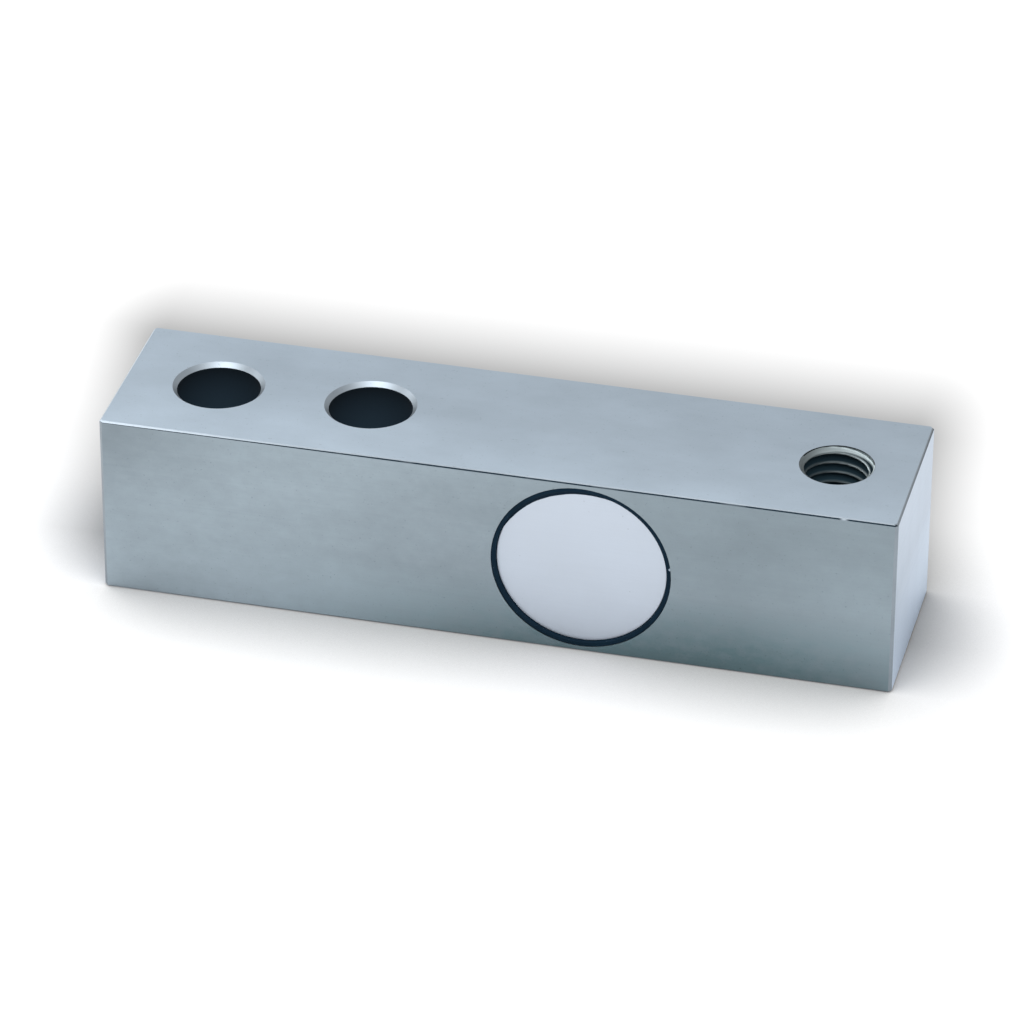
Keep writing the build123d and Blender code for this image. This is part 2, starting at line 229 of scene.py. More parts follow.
class Finish:
    """One material: a Principled shader, and textures in the object's own millimetres that vary it."""

    def __init__(self, name, **shader_values):
        self.material = bpy.data.materials.new(name)
        self.material.use_nodes = True
        tree = self.material.node_tree
        self.nodes = tree.nodes
        self.links = tree.links
        self.shader = self.nodes["Principled BSDF"]
        coordinates = self.nodes.new("ShaderNodeTexCoord")
        scale = self.nodes.new("ShaderNodeVectorMath")
        scale.operation = "SCALE"
        scale.inputs["Scale"].default_value = 1 / MM
        self.links.new(coordinates.outputs["Object"], scale.inputs[0])
        self.place = scale.outputs[0]
        self.across, self.depth, self.rise = self.split(self.place)
        geometry = self.nodes.new("ShaderNodeNewGeometry")
        facing = self.split(geometry.outputs["Normal"])
        self.faces_x, self.faces_y, self.faces_z = [self.math("ABSOLUTE", axis) for axis in facing]
        for socket, value in shader_values.items():
            self.set(socket.replace("_", " "), value)

    def put(self, value, socket):
        """Links a socket, or writes a plain value."""
        if isinstance(value, bpy.types.NodeSocket):
            self.links.new(value, socket)
        elif socket.type == "RGBA" and len(value) == 3:
            socket.default_value = (*value, 1.0)
        else:
            socket.default_value = value

    def set(self, socket, value):
        """Sets one of the shader's own inputs."""
        self.put(value, self.shader.inputs[socket])

    def split(self, vector):
        """The three numbers of a vector."""
        node = self.nodes.new("ShaderNodeSeparateXYZ")
        self.links.new(vector, node.inputs[0])
        return node.outputs[0], node.outputs[1], node.outputs[2]

    def math(self, operation, first, second=0.0):
        """One sum on one or two numbers."""
        node = self.nodes.new("ShaderNodeMath")
        node.operation = operation
        self.put(first, node.inputs[0])
        self.put(second, node.inputs[1])
        return node.outputs[0]

    def chain(self, operation, *numbers):
        """One kind of sum carried along several numbers."""
        total = numbers[0]
        for number in numbers[1:]:
            total = self.math(operation, total, number)
        return total

    def times(self, *factors):
        """The product of several numbers."""
        return self.chain("MULTIPLY", *factors)

    def plus(self, *terms):
        """The sum of several numbers."""
        return self.chain("ADD", *terms)

    def distance(self, first, second):
        """The long side over two sides at a right angle."""
        return self.math("SQRT", self.plus(self.times(first, first), self.times(second, second)))

    def ramp(self, value, low, high, start=0.0, end=1.0):
        """start at low, end at high, and a straight line between them."""
        node = self.nodes.new("ShaderNodeMapRange")
        for socket, number in zip(node.inputs, (value, low, high, start, end)):
            self.put(number, socket)
        return node.outputs[0]

    def vary(self, noise, start, end):
        """A noise turned into numbers from start to end."""
        return self.ramp(noise, NOISE_LOW, NOISE_HIGH, start, end)

    def noise(self, size, stretch=(1, 1, 1), detail=2.0, roughness=0.5):
        """Cloudy noise of one size in millimetres, drawn out by stretch."""
        mapping = self.nodes.new("ShaderNodeMapping")
        self.links.new(self.place, mapping.inputs["Vector"])
        mapping.inputs["Scale"].default_value = [1 / (size * along) for along in stretch]
        node = self.nodes.new("ShaderNodeTexNoise")
        self.links.new(mapping.outputs[0], node.inputs["Vector"])
        node.inputs["Scale"].default_value = 1.0
        node.inputs["Detail"].default_value = detail
        node.inputs["Roughness"].default_value = roughness
        return node.outputs["Fac"]

    def mix(self, share, first, second):
        """Two colours, by a share."""
        node = self.nodes.new("ShaderNodeMix")
        node.data_type = "RGBA"
        self.put(share, node.inputs["Factor"])
        self.put(first, node.inputs[6])
        self.put(second, node.inputs[7])
        return node.outputs[2]

    def blend(self, share, first, second):
        """Two numbers, by a share."""
        node = self.nodes.new("ShaderNodeMix")
        self.put(share, node.inputs["Factor"])
        self.put(first, node.inputs[2])
        self.put(second, node.inputs[3])
        return node.outputs[0]

    def shade(self, colour, amount):
        """A colour made lighter or darker by a number around 1."""
        node = self.nodes.new("ShaderNodeVectorMath")
        node.operation = "SCALE"
        self.put(colour, node.inputs[0])
        self.put(amount, node.inputs["Scale"])
        return node.outputs[0]

    def from_axis(self, mount):
        """Distance from the axis of an upright hole."""
        x, y, _ = mount["pos_m"]
        east = self.math("SUBTRACT", self.across, x / MM)
        north = self.math("SUBTRACT", self.depth, y / MM)
        return self.distance(east, north)

    def from_place(self, x, z):
        """Distance from a place on the sides, as seen from the front."""
        return self.distance(self.math("SUBTRACT", self.across, x), self.math("SUBTRACT", self.rise, z))

    def inside(self, mount, margin=0.03):
        """1 on the wall of an upright hole, or within a margin round it, and 0 elsewhere."""
        return self.math("LESS_THAN", self.from_axis(mount), mount["dims"]["r_mm"] + margin)

    def bump(self, height, depth, strength=1.0):
        """Small relief of a depth in millimetres."""
        node = self.nodes.new("ShaderNodeBump")
        node.inputs["Distance"].default_value = depth * MM
        node.inputs["Strength"].default_value = strength
        self.put(height, node.inputs["Height"])
        self.set("Normal", node.outputs[0])

    def cover(self, *names):
        """Puts the material on CAD nodes."""
        for name in names:
            slots = frame["nodes"][name].material_slots
            slots[0].material = self.material


def painted_edge_shade(steel):
    """1 on the thin dark line of painted shade along the top chamfers, broken once in front, faint at the
    loaded end.
    """
    band = 0.4
    line_low = 0.32
    break_place = 56.4
    top = bar_high.z / MM
    near_front = steel.math("LESS_THAN", steel.depth, bar_low.y / MM + band)
    near_end = steel.math("GREATER_THAN", steel.across, bar_high.x / MM - band)
    near_end = steel.times(near_end, steel.ramp(steel.depth, -14.0, 8.0, 0.1, 0.5))
    nearby = steel.math("MAXIMUM", near_front, near_end)
    low = steel.math("GREATER_THAN", steel.rise, top - line_low)
    line_high = steel.ramp(steel.across, -60.0, -15.0, top - 0.25, top - 0.13)
    high = steel.math("LESS_THAN", steel.rise, line_high)
    line_breaks = steel.ramp(steel.noise(1.6, (3, 1, 1)), NOISE_LOW, 0.42, 0.8, 1.0)
    from_break = steel.math("ABSOLUTE", steel.math("SUBTRACT", steel.across, break_place))
    return steel.times(nearby, low, high, line_breaks, steel.ramp(from_break, 0.15, 0.8))


def chamfer_light_and_shade(steel):
    """Painted highlight and shade on the chamfers: most light round the back of the holes, least along the
    top edges.
    """
    rim_width = 0.9
    upright_shade = 0.46
    rims = steel.math("MAXIMUM", *[steel.inside(hole, rim_width) for hole in mounting_holes])
    rim_highlight = steel.ramp(steel.faces_x, 0.05, 0.65, 0.72, 0.42)
    top_edge_shade = steel.ramp(steel.across, -60.0, -25.0, 0.7, 0.38)
    upright = steel.ramp(steel.faces_z, 0.1, 0.3, 1.0, 0.0)
    tone = steel.blend(rims, top_edge_shade, rim_highlight)
    return steel.blend(upright, tone, upright_shade)


def ground_side(steel, finish, lines, bands):
    """Colour of the ground sides, with painted light and shade along them and painted shade, the floor's
    dark reflection, low down on the loaded half.
    """
    stains = steel.noise(26.0, (1.3, 1, 0.7), 3.0, 0.55)
    mottles = steel.noise(2.2, (1.4, 1, 1), 4.0, 0.65)
    # Painted light and shade: lighter near the clamped end, darker along the middle, lighter again beside
    # the load hole
    along = steel.times(
        steel.ramp(steel.across, -60.0, -42.0, 0.97, 1.05),
        steel.ramp(steel.across, -42.0, 14.0, 1.0, 0.8),
        steel.ramp(steel.across, 40.0, 60.0, 1.0, 1.12),
    )
    # Painted light and shade: the upper half is darker at both ends, and the lower half is lighter at the
    # clamped end
    upper = steel.plus(
        steel.ramp(steel.across, -62.0, -42.0, -0.24, -0.03),
        steel.ramp(steel.across, 35.0, 58.0, 0.0, -0.19),
        steel.ramp(steel.across, -42.0, -12.0, 0.0, 0.08),
    )
    upper = steel.times(upper, steel.ramp(steel.rise, 14.0, 28.0))
    lower = steel.times(
        steel.ramp(steel.across, -62.0, -45.0, 0.12, 0.38),
        steel.ramp(steel.across, -25.0, 5.0, 1.0, 0.0),
        steel.ramp(steel.rise, 1.0, 12.0, 1.0, 0.0),
    )
    tone = steel.times(
        steel.plus(steel.vary(lines, 0.985, 1.015), steel.vary(bands, -0.01, 0.01)),
        steel.vary(stains, 0.92, 1.08),
        steel.vary(mottles, 0.955, 1.045),
        along,
        steel.plus(upper, lower, 1.0),
    )
    # The painted shade of the floor's reflection thickens towards the loaded end and thins out upwards
    film = steel.times(
        steel.ramp(steel.across, -42.0, 20.0),
        steel.ramp(steel.across, 42.0, 62.0, 0.95, 0.52),
        steel.ramp(steel.rise, 0.0, 13.0, 1.0, 0.0),
        steel.vary(stains, 0.8, 1.15),
    )
    film = steel.plus(film, steel.ramp(steel.across, -10.0, 30.0, 0.0, 0.12))
    film = steel.times(film, steel.vary(mottles, 0.7, 1.3))
    return steel.shade(steel.mix(film, finish.side_colour, finish.film_colour), tone)


def plated_steel(finish):
    """Satin nickel on ground steel: lines along the sides, cloudy top, and painted light and shade on the
    faces, chamfers, top edges and bores.
    """
    steel = Finish("plated_steel", Metallic=1.0)
    line = finish.line_size / MM
    side_lines = steel.noise(line, (160, 160, 1), 3.0, 0.6)
    side_bands = steel.noise(1.1, (60, 60, 1))
    end_lines = steel.noise(line, (1, 1, 90))
    end_bands = steel.noise(5.0, (1, 1, 8))
    top_lines = steel.noise(line * 1.4, (120, 1, 120))
    clouds = steel.noise(11.0, (1.6, 1, 1), 4.0, 0.6)
    specks = steel.noise(0.32, (1.3, 1, 1), 1.0)

    # 1 on the flat faces, and 0 on the chamfers between them
    facing = (steel.faces_z, steel.faces_x, steel.faces_y)
    on_top, on_end, on_side = [steel.ramp(share, 0.93, 0.97) for share in facing]
    on_face = steel.chain("MAXIMUM", on_top, on_end, on_side)
    in_bore = steel.chain("MAXIMUM", *[steel.inside(hole) for hole in (*mounting_holes, load_hole)])

    # Painted light on the top: lighter towards the clamped end and along the front edge, over its clouds and
    # lines
    top_grain_and_light = steel.times(
        steel.vary(clouds, 0.93, 1.07),
        steel.vary(top_lines, 0.994, 1.006),
        steel.ramp(steel.across, -60.0, 60.0, 1.04, 0.95),
        steel.ramp(steel.depth, -15.0, 0.0, 1.18, 0.98),
    )
    end_grain_and_light = steel.plus(steel.vary(end_lines, 0.993, 1.007), steel.vary(end_bands, -0.02, 0.02))
    # Painted light: the ends are lighter low down
    end_grain_and_light = steel.times(end_grain_and_light, steel.ramp(steel.rise, 0.0, 18.0, 1.54, 1.0))
    # Chamfers in their metal colour, with painted highlight and shade
    colour = steel.shade(finish.edge_metal_and_highlight_colour, steel.vary(clouds, 0.9, 1.1))
    colour = steel.shade(colour, chamfer_light_and_shade(steel))
    colour = steel.mix(on_side, colour, ground_side(steel, finish, side_lines, side_bands))
    colour = steel.mix(on_top, colour, steel.shade(finish.top_colour, top_grain_and_light))
    colour = steel.mix(on_end, colour, steel.shade(finish.lit_end_colour, end_grain_and_light))
    colour = steel.shade(colour, steel.ramp(specks, 0.7, 0.78, 1.0, 0.8))
    # A thin line of painted shade under the top edges
    colour = steel.mix(painted_edge_shade(steel), colour, finish.edge_shade_colour)
    # The bores are painted dark as painted shade, lighter lower down and darkest near the top rim
    bore_shade = steel.ramp(steel.rise, 22.5, 30.0, 1.9, 0.35)
    colour = steel.mix(in_bore, colour, steel.shade(finish.bore_shade_colour, bore_shade))
    steel.set("Base Color", colour)
    steel.set("Metallic", steel.ramp(in_bore, 0.0, 1.0, 1.0, 0.0))
    steel.set("Specular IOR Level", 0.1)

    roughness = steel.blend(on_face, 0.4, finish.side_roughness)
    roughness = steel.blend(on_top, roughness, finish.top_roughness)
    roughness = steel.plus(roughness, steel.vary(side_bands, -0.03, 0.03))
    steel.set("Roughness", steel.blend(in_bore, roughness, 0.9))
    relief = steel.blend(on_top, side_lines, top_lines)
    relief = steel.blend(on_end, relief, end_lines)
    steel.bump(relief, 0.001, 0.35)
    return steel


class LOADCELL_OT_bar(Operator):
    """Finish the steel bar"""

    bl_idname = "load_cell.bar"
    bl_label = "Steel Bar"

    def execute(self, context):
        plated_steel(context.scene.load_cell_bar).cover("beam_body")
        return {"FINISHED"}


def thread_radius(sizes, turn, height, wall, length):
    """Inner radius of the tapped hole at a share of a turn and a height."""
    root = wall - sizes.root_gap
    crest = root - sizes.depth
    along = (height / sizes.pitch - turn + 0.5) % 1.0
    from_crest = abs(along - 0.5) * sizes.pitch - sizes.crest_width / 2
    flank = (sizes.pitch * RIDGE_SHARE - sizes.crest_width) / 2
    share = min(max(from_crest / flank, 0.0), 1.0)
    cone = root - min(height, length - height) * (root - crest) / sizes.countersink
    return max(crest + (root - crest) * share, cone)


def thread_steel(sizes):
    """Cut steel: a bright turned cone, duller crests below it and dark roots, with painted light to the
    right and painted shade in the roots, deep down and along the back rim.
    """
    steel = Finish("cut_thread")
    reach = steel.from_axis(load_hole)
    wall = load_hole["dims"]["r_mm"]
    crest = wall - (sizes.root_gap + sizes.depth) / MM
    cone_depth = sizes.countersink / MM
    from_end = steel.math("MINIMUM", steel.rise, steel.math("SUBTRACT", bar_high.z / MM, steel.rise))
    from_middle = steel.math("SUBTRACT", steel.across, load_hole["pos_m"][0] / MM)
    cone = steel.ramp(from_end, cone_depth * 0.8, cone_depth * 1.05, 1.0, 0.0)
    on_crest = steel.ramp(reach, crest + 0.05, crest + 0.32, 1.0, 0.0)
    deep = steel.ramp(from_end, 1.0, 11.0, 1.0, 0.0)
    rings = steel.noise(0.14, (40, 40, 1))
    scratches = steel.noise(0.35, (1, 1, 0.5))
    ring_low = steel.ramp(from_end, 0.3, 0.8, 0.9, 0.6)
    # Painted light and shade: lighter towards the right of the hole, darker to the left
    tone = steel.times(steel.vary(rings, ring_low, 1.12), steel.ramp(from_middle, -6.0, 3.0, 0.3, 1.05))
    # A thin line of painted shadow along the back of the rim
    at_back = steel.math("GREATER_THAN", steel.depth, load_hole["pos_m"][1] / MM + 1.5)
    rim = steel.times(steel.math("LESS_THAN", from_end, 0.14), at_back)
    tone = steel.times(tone, steel.blend(rim, 1.0, 0.15))
    # Crests stay bright only near the ends and towards the right; deeper in and to the left they take
    # painted shade
    crest_share = steel.times(on_crest, deep, steel.ramp(from_middle, -6.0, 5.0, 0.5, 1.0))
    bright = steel.math("MAXIMUM", crest_share, cone)
    # The roots are painted shade, darkest near the top
    roots = steel.shade(sizes.root_shade_colour, steel.ramp(steel.rise, 24.5, 30.5, 2.0, 0.7))
    steel.set("Base Color", steel.mix(bright, roots, steel.shade(sizes.crest_colour, tone)))
    steel.set("Metallic", bright)
    steel.set("Specular IOR Level", 0.02)
    steel.set("Roughness", steel.blend(bright, 0.9, steel.vary(scratches, 0.42, 0.55)))
    steel.bump(scratches, 0.006, 0.3)
    return steel


def point_ring(shell, centre, height, radii):
    """A level ring of points round an upright axis, one for each radius."""
    ring = []
    for step, radius in enumerate(radii):
        angle = step / len(radii) * math.tau
        offset = Vector((math.cos(angle) * radius, math.sin(angle) * radius, height))
        ring.append(shell.verts.new(centre + offset))
    return ring


class LOADCELL_OT_thread(Operator):
    """Cut the load thread, a helix with a countersink at each end"""

    bl_idname = "load_cell.thread"
    bl_label = "Load Thread"

    def execute(self, context):
        sizes = context.scene.load_cell_thread
        wall = load_hole["dims"]["r_mm"] * MM
        length = bar_high.z
        centre = Vector((load_hole["pos_m"][0], load_hole["pos_m"][1], 0.0))
        rows = round(length / sizes.pitch * sizes.rows)
        shell = bmesh.new()
        rings = []
        turns = [step / sizes.around for step in range(sizes.around)]
        for row in range(rows + 1):
            height = length * row / rows
            radii = [thread_radius(sizes, turn, height, wall, length) for turn in turns]
            rings.append(point_ring(shell, centre, height, radii))
        # Two plain rings close the shell between the thread and the wall of the hole
        outer = [wall - sizes.root_gap / 4] * sizes.around
        rings.append(point_ring(shell, centre, length, outer))
        rings.append(point_ring(shell, centre, 0.0, outer))
        rings.append(rings[0])
        for low, high in zip(rings, rings[1:]):
            for step in range(sizes.around):
                after = (step + 1) % sizes.around
                shell.faces.new((low[step], high[step], high[after], low[after]))
        for face in shell.faces:
            face.smooth = True
        mesh = bpy.data.meshes.new("load_thread")
        shell.to_mesh(mesh)
        shell.free()
        thread = bpy.data.objects.new("load_thread", mesh)
        context.scene.collection.objects.link(thread)
        mesh.materials.append(thread_steel(sizes).material)
        mesh.set_sharp_from_angle(angle=SHARP_ANGLE)
        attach(thread, "root")
        return {"FINISHED"}


def disc_rim_shadow(metal):
    """1 on a painted shadow over the rim of the front disc, widest at the upper left."""
    shift_x, shift_z, overhang = 0.66, -1.95, 1.3
    middle = (cover_low + cover_high) / 2 / MM
    reach = (cover_high.x - cover_low.x) / 2 / MM
    wave = metal.vary(metal.noise(2.5), -0.04, 0.04)
    gap = metal.plus(metal.from_place(middle.x + shift_x, middle.z + shift_z), wave)
    shadowed = metal.math("GREATER_THAN", gap, reach + overhang)
    return metal.times(shadowed, metal.math("LESS_THAN", metal.depth, 0.0))


def satin_disc(finish):
    """Pale satin cover metal with faint rolling lines, a few pinpricks, a painted shadow over part of the
    rim and painted shade a little darker at the bottom.
    """
    metal = Finish("satin_disc")
    lines = metal.noise(0.25, (40, 1, 1))
    clouds = metal.noise(9.0, (1.4, 1, 1), 3.0)
    pricks = metal.noise(0.45, detail=0.0)
    rim_shadow = disc_rim_shadow(metal)
    tone = metal.times(
        metal.vary(clouds, 0.975, 1.025),
        metal.vary(lines, 0.993, 1.007),
        metal.ramp(pricks, 0.83, 0.86, 1.0, 0.75),
        # Painted shade: a little darker at the bottom
        metal.ramp(metal.rise, 2.0, 10.0, 0.99, 1.0),
    )
    # The painted shadow over the rim takes the dark rubber colour
    metal.set("Base Color", metal.mix(rim_shadow, metal.shade(finish.disc_colour, tone), finish.rubber_and_shadow_colour))
    metal.set("Metallic", metal.ramp(rim_shadow, 0.0, 1.0, 1.0, 0.0))
    metal.set("Specular IOR Level", 0.05)
    rough = finish.disc_roughness
    metal.set("Roughness", metal.vary(clouds, rough - 0.04, rough + 0.04))
    metal.bump(lines, 0.001, 0.3)
    return metal


def seal_rubber(finish):
    """Dark rubber with a fine grain, a little dust and one pale nick at the right of the front ring."""
    nick_x, nick_z, nick_radius = 28.85, 17.44, 0.245
    rubber = Finish("seal_rubber", Metallic=0.0)
    grain = rubber.noise(0.18)
    dust = rubber.noise(0.3, detail=1.0)
    patches = rubber.noise(3.5)
    share = rubber.times(rubber.ramp(dust, 0.76, 0.84), 0.3)
    nick = rubber.math("LESS_THAN", rubber.from_place(nick_x, nick_z), nick_radius)
    nick = rubber.times(nick, rubber.math("LESS_THAN", rubber.depth, 0.0))
    share = rubber.math("MAXIMUM", share, nick)
    colour = rubber.shade(finish.rubber_and_shadow_colour, rubber.vary(patches, 0.85, 1.15))
    rubber.set("Base Color", rubber.mix(share, colour, finish.dust_colour))
    rubber.set("Roughness", rubber.vary(grain, 0.65, 0.8))
    rubber.set("Specular IOR Level", 0.05)
    rubber.bump(grain, 0.01, 0.4)
    return rubber


class LOADCELL_OT_covers(Operator):
    """Finish the cover discs and their rubber seal rings"""

    bl_idname = "load_cell.covers"
    bl_label = "Covers and Seals"

    def execute(self, context):
        finish = context.scene.load_cell_covers
        satin_disc(finish).cover("front_cover_disc", "rear_cover_disc")
        seal_rubber(finish).cover("front_seal_ring", "rear_seal_ring")
        return {"FINISHED"}


def amber_film(finish):
    """Thin amber film, glossy, with a faint weave of bubbles."""
    film = Finish("amber_film", Roughness=0.25)
    clouds = film.noise(1.2, detail=3.0)
    film.set("Base Color", film.shade(finish.film_colour, film.vary(clouds, 0.85, 1.15)))
    film.set("Coat Weight", 0.4)
    film.bump(clouds, 0.01, 0.3)
    return film


def bare_metal(name, colour, roughness, line):
    """Bare rolled metal with fine lines."""
    metal = Finish(name, Metallic=1.0)
    lines = metal.noise(line, (1, 1, 14))
    clouds = metal.noise(line * 12)
    tone = metal.times(metal.vary(lines, 0.92, 1.08), metal.vary(clouds, 0.94, 1.06))
    metal.set("Base Color", metal.shade(colour, tone))
    metal.set("Roughness", metal.vary(clouds, roughness - 0.05, roughness + 0.08))
    metal.bump(lines, line * 0.05, 0.4)
    return metal


def soft_gel(finish):
    """Milky silicone gel that lets some light through."""
    gel = Finish("soft_gel", Roughness=0.2)
    clouds = gel.noise(4.0, detail=3.0)
    gel.set("Base Color", gel.shade(finish.gel_colour, gel.vary(clouds, 0.94, 1.04)))
    gel.set("Subsurface Weight", 0.3)
    gel.set("Subsurface Scale", 0.001)
    gel.set("Roughness", gel.vary(clouds, 0.15, 0.3))
    gel.bump(clouds, 0.05, 0.3)
    return gel


class LOADCELL_OT_gauges(Operator):
    """Finish the strain gauges, terminals, leads and potting"""

    bl_idname = "load_cell.gauges"
    bl_label = "Strain Gauges"

    def execute(self, context):
        finish = context.scene.load_cell_gauges
        film = amber_film(finish)
        alloy = bare_metal("gauge_alloy", finish.alloy_colour, 0.32, 0.04)
        copper = bare_metal("soft_copper", finish.copper_colour, 0.35, 0.05)
        gel = soft_gel(finish)
        for side in ("front", "rear"):
            film.cover(f"{side}_gauge_backing", f"{side}_terminal_strip")
            alloy.cover(f"{side}_gauge_foil")
            copper.cover(f"{side}_terminal_tabs", f"{side}_gauge_leads")
            gel.cover(f"{side}_potting")
        return {"FINISHED"}


def green_laminate(finish):
    """Lacquered glass laminate with the cloth showing through."""
    thread_pitch = 0.5
    laminate = Finish("green_laminate", Roughness=0.35)
    warp = laminate.math("SINE", laminate.times(laminate.across, math.tau / thread_pitch))
    weft = laminate.math("SINE", laminate.times(laminate.rise, math.tau / thread_pitch))
    cloth = laminate.times(warp, weft)
    clouds = laminate.noise(3.0)
    tone = laminate.times(laminate.ramp(cloth, -1.0, 1.0, 0.85, 1.15), laminate.vary(clouds, 0.9, 1.1))
    laminate.set("Base Color", laminate.shade(finish.laminate_colour, tone))
    laminate.set("Coat Weight", 0.5)
    laminate.bump(cloth, 0.01, 0.3)
    return laminate


def chip_ceramic(finish, node):
    """Black chip bodies with a tinned cap at each end."""
    cap_start = 0.68
    chip = Finish("chip_" + node)
    low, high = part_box(node)
    middle = (low.x + high.x) / 2 / MM
    reach = (high.x - low.x) / 2 / MM
    from_middle = chip.math("ABSOLUTE", chip.math("SUBTRACT", chip.across, middle))
    cap = chip.math("GREATER_THAN", from_middle, reach * cap_start)
    grain = chip.noise(0.1)
    body = chip.shade(finish.chip_colour, chip.vary(grain, 0.7, 1.5))
    tin = chip.shade(finish.cap_colour, chip.vary(grain, 0.9, 1.1))
    chip.set("Base Color", chip.mix(cap, body, tin))
    chip.set("Metallic", cap)
    chip.set("Roughness", chip.vary(grain, 0.3, 0.45))
    chip.bump(grain, 0.01, 0.3)
    return chip


def wound_bobbin(finish):
    """Bobbins with lacquered resistance wire wound on them."""
    wire_pitch = 0.16
    bobbin = Finish("wound_bobbin", Roughness=0.35)
    turns = bobbin.math("SINE", bobbin.times(bobbin.depth, math.tau / wire_pitch))
    clouds = bobbin.noise(0.8)
    tone = bobbin.times(bobbin.ramp(turns, -1.0, 1.0, 0.6, 1.2), bobbin.vary(clouds, 0.9, 1.1))
    bobbin.set("Base Color", bobbin.shade(finish.winding_colour, tone))
    bobbin.set("Metallic", 0.6)
    bobbin.bump(turns, 0.03, 0.6)
    return bobbin


def wire_cover(finish):
    """Insulation in four colours, told apart by where each wire runs across the web."""
    cover = Finish("wire_cover", Roughness=0.45)
    low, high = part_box("front_bridge_wires")
    middle = (low.x + high.x) / 2 / MM
    quarter = (high.x - low.x) / 4 / MM
    grain = cover.noise(0.12)
    side = cover.math("SUBTRACT", cover.across, middle)
    colour = cover.mix(cover.math("GREATER_THAN", side, -quarter), finish.supply_plus, finish.signal_plus)
    colour = cover.mix(cover.math("GREATER_THAN", side, 0.0), colour, finish.signal_minus)
    colour = cover.mix(cover.math("GREATER_THAN", side, quarter), colour, finish.supply_minus)
    cover.set("Base Color", cover.shade(colour, cover.vary(grain, 0.88, 1.12)))
    cover.set("Roughness", cover.vary(grain, 0.38, 0.52))
    cover.bump(grain, 0.008, 0.3)
    return cover


class LOADCELL_OT_board(Operator):
    """Finish the connection board, its pads, resistors and bridge wires"""

    bl_idname = "load_cell.board"
    bl_label = "Connection Board"

    def execute(self, context):
        finish = context.scene.load_cell_board
        copper = context.scene.load_cell_gauges.copper_colour
        green_laminate(finish).cover("connection_board")
        bare_metal("tinned_pads", copper, 0.3, 0.06).cover("board_pads")
        for chips in ("span_resistors", "zero_balance_resistor"):
            chip_ceramic(finish, chips).cover(chips)
        wound_bobbin(finish).cover("temperature_resistors")
        wire_cover(finish).cover("front_bridge_wires", "rear_bridge_wires")
        return {"FINISHED"}


class LOADCELL_OT_gland(Operator):
    """Finish the gland screw, its washer and the rubber bush"""

    bl_idname = "load_cell.gland"
    bl_label = "Cable Gland"

    def execute(self, context):
        finish = context.scene.load_cell_gland
        bare_metal("gland_nickel", finish.metal_colour, 0.3, 0.08).cover("gland_screw", "gland_washer")
        bush = Finish("bush_rubber", Roughness=0.6)
        grain = bush.noise(0.2)
        bush.set("Base Color", bush.shade(finish.bush_colour, bush.vary(grain, 0.8, 1.3)))
        bush.set("Roughness", bush.vary(grain, 0.5, 0.7))
        bush.bump(grain, 0.02, 0.4)
        bush.cover("seal_bush")
        return {"FINISHED"}


def painted_back_shadow(paper):
    """A painted shadow: 1 behind the bar, where the light from the front doesn't reach, falling off over a
    few centimetres.
    """
    half_length = bar_high.x / MM
    half_width = bar_high.y / MM
    reach = half_width + 52.0
    rounding = 6.0
    fade = 40.0
    corner = half_length - rounding
    # The shadow leans to the left and widens a little towards the back
    shift = paper.ramp(paper.depth, -half_width, reach, 1.5, 13.0)
    edge = paper.ramp(paper.depth, -half_width, reach, corner + 2.5, corner + 7.0)
    from_middle = paper.math("ABSOLUTE", paper.plus(paper.across, shift))
    side = paper.math("MAXIMUM", paper.math("SUBTRACT", from_middle, edge), 0.0)
    back = paper.math("MAXIMUM", paper.math("SUBTRACT", paper.depth, reach - rounding), 0.0)
    away = paper.distance(paper.times(side, 1.8), back)
    soft = paper.ramp(away, rounding, rounding + fade, 1.0, 0.0)
    # It starts under the bar and is fullest well behind it
    start = paper.ramp(paper.depth, -half_width, 0.0, 0.0, 0.92)
    start = paper.plus(start, paper.ramp(paper.depth, 10.0, 50.0, 0.0, 0.08))
    return paper.times(soft, soft, start)


def paper_floor(settings):
    """Pale paper that shows the lamps' soft shadow, a painted contact shadow and a painted shadow behind the
    bar, and looks white where the camera or a reflection sees it.
    """
    paper = Finish("paper_floor", Roughness=0.9)
    grain = paper.noise(40.0, detail=3.0)
    # An ambient occlusion node paints a contact shadow into the paper where the bar meets it
    contact = paper.nodes.new("ShaderNodeAmbientOcclusion")
    contact.samples = 8
    contact.inputs["Distance"].default_value = settings.contact_reach
    tone = paper.times(
        paper.ramp(contact.outputs["AO"], 0.5, 1.0, settings.contact_tone, 1.0),
        paper.vary(grain, 0.995, 1.005),
        paper.ramp(painted_back_shadow(paper), 0.0, 1.0, 1.0, 1.0 - settings.painted_back_shadow),
    )
    paper.set("Base Color", paper.shade(settings.floor_colour, tone))
    paper.set("Specular IOR Level", 0.0)
    paper.set("Emission Color", (1.0, 1.0, 1.0))
    glow = paper.times(tone, settings.floor_glow, seen_directly(paper.nodes, paper.links))
    paper.set("Emission Strength", glow)
    return paper


def seen_directly(nodes, links):
    """1 for camera rays and for rays off metal or through glass, 0 for the light on the object."""
    path = nodes.new("ShaderNodeLightPath")
    seen = path.outputs["Is Camera Ray"]
    for ray in ("Is Glossy Ray", "Is Transmission Ray"):
        either = nodes.new("ShaderNodeMath")
        either.operation = "MAXIMUM"
        links.new(seen, either.inputs[0])
        links.new(path.outputs[ray], either.inputs[1])
        seen = either.outputs[0]
    return seen


